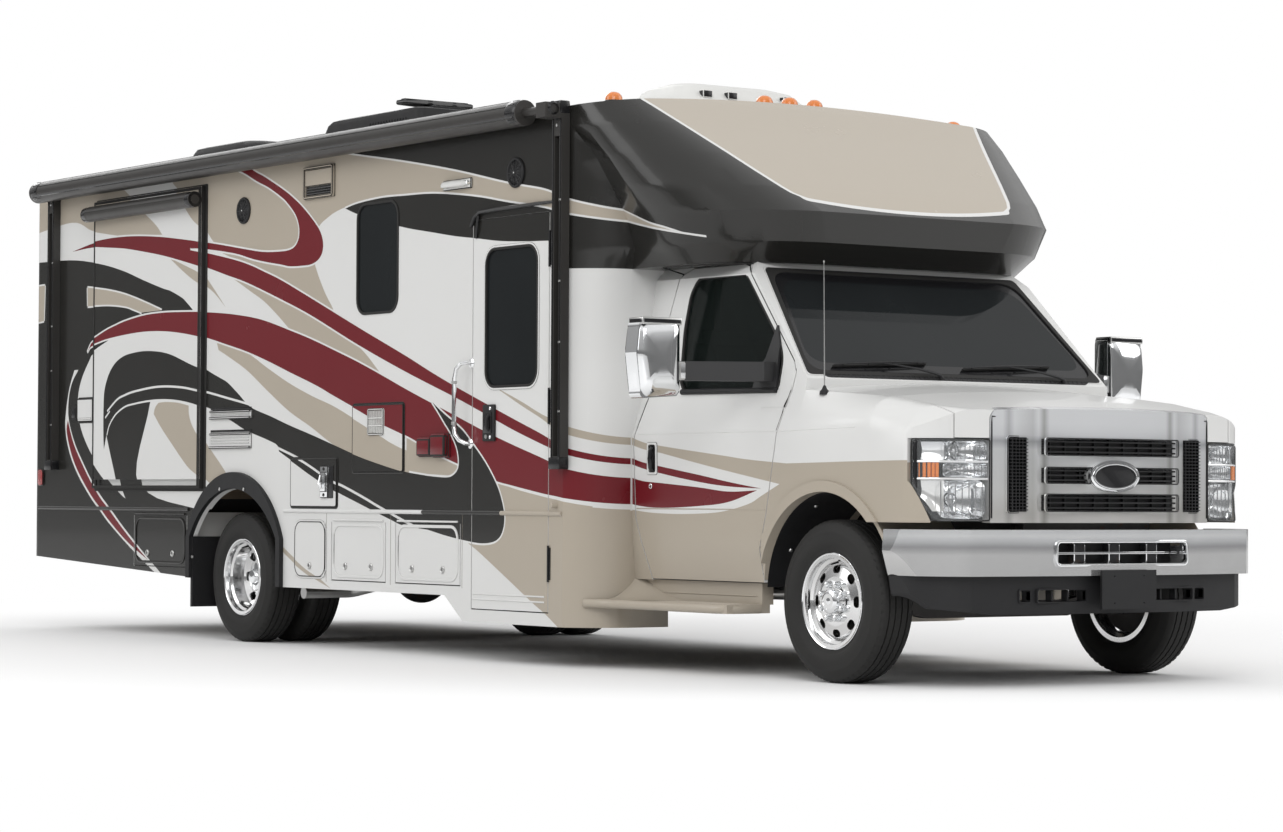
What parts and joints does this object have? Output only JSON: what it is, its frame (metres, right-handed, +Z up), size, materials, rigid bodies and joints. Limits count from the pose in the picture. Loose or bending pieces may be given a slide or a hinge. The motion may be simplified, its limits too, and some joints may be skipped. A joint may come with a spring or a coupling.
{
  "type": "motorhome",
  "caption": "Van-cab motorhome with a box coach body, overcab bed, two slide-out rooms, hinged doors and hatches, opening hood, steered front wheels and twin rear wheels.",
  "frame": {"origin": "on the ground below the middle of the vehicle, between its two sides", "axes": "-Y to the front, +X to the driver's side, +Z up"},
  "size_m": [3.176, 8.79, 3.1],
  "materials": {
    "white_body": "gloss white gel coat",
    "charcoal_cap": "gloss charcoal gel coat",
    "chrome_trim": "bright chrome",
    "black_plastic": "grained black plastic",
    "grey_plastic": "grained grey plastic",
    "white_plastic": "moulded white cover",
    "lens": "clear lens",
    "lamp_red": "red and amber lenses",
    "window": "dark tinted glass",
    "frame_steel": "black chassis paint",
    "axle_iron": "cast and forged, dusty",
    "engine_iron": "engine castings",
    "bright_steel": "aluminised steel",
    "wheel_chrome": "polished wheel liners",
    "tyre_rubber": "road tyre",
    "awning_cloth": "dark awning case and arms",
    "seat_cloth": "woven seat cover",
    "floor_board": "laminated floor"
  },
  "bodies": {
    "coach": {"air_conditioner": "white_plastic", "awning": "awning_cloth", "bumper_valance": "black_plastic", "cab_body": "white_body", "cab_seats": "seat_cloth", "chassis_frame": "frame_steel", "coach_floor": "floor_board", "corner_panels": "white_body", "dashboard": "grey_plastic", "engine_block": "engine_iron", "exhaust": "bright_steel", "fenders": "white_body", "front_axle": "axle_iron", "front_bumper": "chrome_trim", "fuel_tank": "bright_steel", "grille": "chrome_trim", "headlamps": "lens", "left_wall": "white_body", "lockers": "frame_steel", "outer_lamps": "lamp_red", "overcab_cap": "charcoal_cap", "rear_axle": "axle_iron", "rear_bumper": "frame_steel", "rear_wall": "white_body", "right_wall": "white_body", "roof": "white_body", "roof_box": "black_plastic", "side_fittings": "white_plastic", "skirts": "white_body", "skylight": "white_plastic", "wheel_flares": "black_plastic", "window_glass": "window"},
    "left_steer": {"left_knuckle": "axle_iron"},
    "right_steer": {"right_knuckle": "axle_iron"},
    "front_left_wheel": {"front_left_tyre": "tyre_rubber", "front_left_rim": "wheel_chrome"},
    "rear_left_wheels": {"rear_left_tyres": "tyre_rubber", "rear_left_rims": "wheel_chrome"},
    "left_door": {"left_cab_door": "white_body", "left_door_glass": "window", "left_mirror": "chrome_trim"},
    "front_right_wheel": {"front_right_tyre": "tyre_rubber", "front_right_rim": "wheel_chrome"},
    "rear_right_wheels": {"rear_right_tyres": "tyre_rubber", "rear_right_rims": "wheel_chrome"},
    "right_door": {"right_cab_door": "white_body", "right_door_glass": "window", "right_mirror": "chrome_trim"},
    "hood_lid": {"hood": "white_body"},
    "entry": {"entry_door": "white_body", "entry_door_glass": "window"},
    "right_room": {"right_slide_out": "white_body", "right_slide_topper": "awning_cloth"},
    "left_room": {"left_slide_out": "white_body", "left_slide_topper": "awning_cloth", "left_slide_glass": "window"},
    "right_front_hatch_lid": {"right_front_hatch": "white_body"},
    "right_middle_hatch_lid": {"right_middle_hatch": "white_body"},
    "right_rear_hatch_lid": {"right_rear_hatch": "white_body"},
    "left_middle_hatch_lid": {"left_middle_hatch": "white_body"}
  },
  "joints": [
    {"name": "left_steering", "type": "hinge", "parent": "coach", "child": "left_steer", "pos_m": [0.745, -3.475, 0.372], "axis": [0, 0, 1], "range_deg": [-32, 32]},
    {"name": "right_steering", "type": "hinge", "parent": "coach", "child": "right_steer", "pos_m": [-0.745, -3.475, 0.372], "axis": [0, 0, 1], "range_deg": [-32, 32]},
    {"name": "front_left_roll", "type": "hinge", "parent": "left_steer", "child": "front_left_wheel", "pos_m": [0.882, -3.475, 0.372], "axis": [1, 0, 0], "continuous": true},
    {"name": "front_right_roll", "type": "hinge", "parent": "right_steer", "child": "front_right_wheel", "pos_m": [-0.882, -3.475, 0.372], "axis": [1, 0, 0], "continuous": true},
    {"name": "rear_left_roll", "type": "hinge", "parent": "coach", "child": "rear_left_wheels", "pos_m": [1.115, 1.705, 0.372], "axis": [1, 0, 0], "continuous": true},
    {"name": "rear_right_roll", "type": "hinge", "parent": "coach", "child": "rear_right_wheels", "pos_m": [-1.115, 1.705, 0.372], "axis": [1, 0, 0], "continuous": true},
    {"name": "left_door_hinge", "type": "hinge", "parent": "coach", "child": "left_door", "pos_m": [1.003, -3.151, 1], "axis": [0, 0, -1], "range_deg": [0, 65]},
    {"name": "right_door_hinge", "type": "hinge", "parent": "coach", "child": "right_door", "pos_m": [-1.003, -3.151, 1], "axis": [0, 0, 1], "range_deg": [0, 65]},
    {"name": "hood_hinge", "type": "hinge", "parent": "coach", "child": "hood_lid", "pos_m": [0, -3.2355, 1.3885], "axis": [-1, 0, 0], "range_deg": [0, 50]},
    {"name": "entry_hinge", "type": "hinge", "parent": "coach", "child": "entry", "pos_m": [-1.287, -1.607, 1.2], "axis": [0, 0, 1], "range_deg": [0, 100]},
    {"name": "right_slide_travel", "type": "slide", "parent": "coach", "child": "right_room", "axis": [-1, 0, 0], "range_m": [0, 0.5]},
    {"name": "left_slide_travel", "type": "slide", "parent": "coach", "child": "left_room", "axis": [1, 0, 0], "range_m": [0, 0.5]},
    {"name": "right_front_hatch_hinge", "type": "hinge", "parent": "coach", "child": "right_front_hatch_lid", "pos_m": [-1.285, -0.465, 0.7], "axis": [0, 1, 0], "range_deg": [0, 90]},
    {"name": "right_middle_hatch_hinge", "type": "hinge", "parent": "coach", "child": "right_middle_hatch_lid", "pos_m": [-1.285, 0.25, 0.7], "axis": [0, 1, 0], "range_deg": [0, 90]},
    {"name": "right_rear_hatch_hinge", "type": "hinge", "parent": "coach", "child": "right_rear_hatch_lid", "pos_m": [-1.285, 2.585, 0.72], "axis": [0, 1, 0], "range_deg": [0, 90]},
    {"name": "left_middle_hatch_hinge", "type": "hinge", "parent": "coach", "child": "left_middle_hatch_lid", "pos_m": [1.285, -0.125, 0.7], "axis": [0, -1, 0], "range_deg": [0, 90]}
  ],
  "couplings": [
    {"joint": "right_steering", "follows": "left_steering", "ratio": 1}
  ]
}
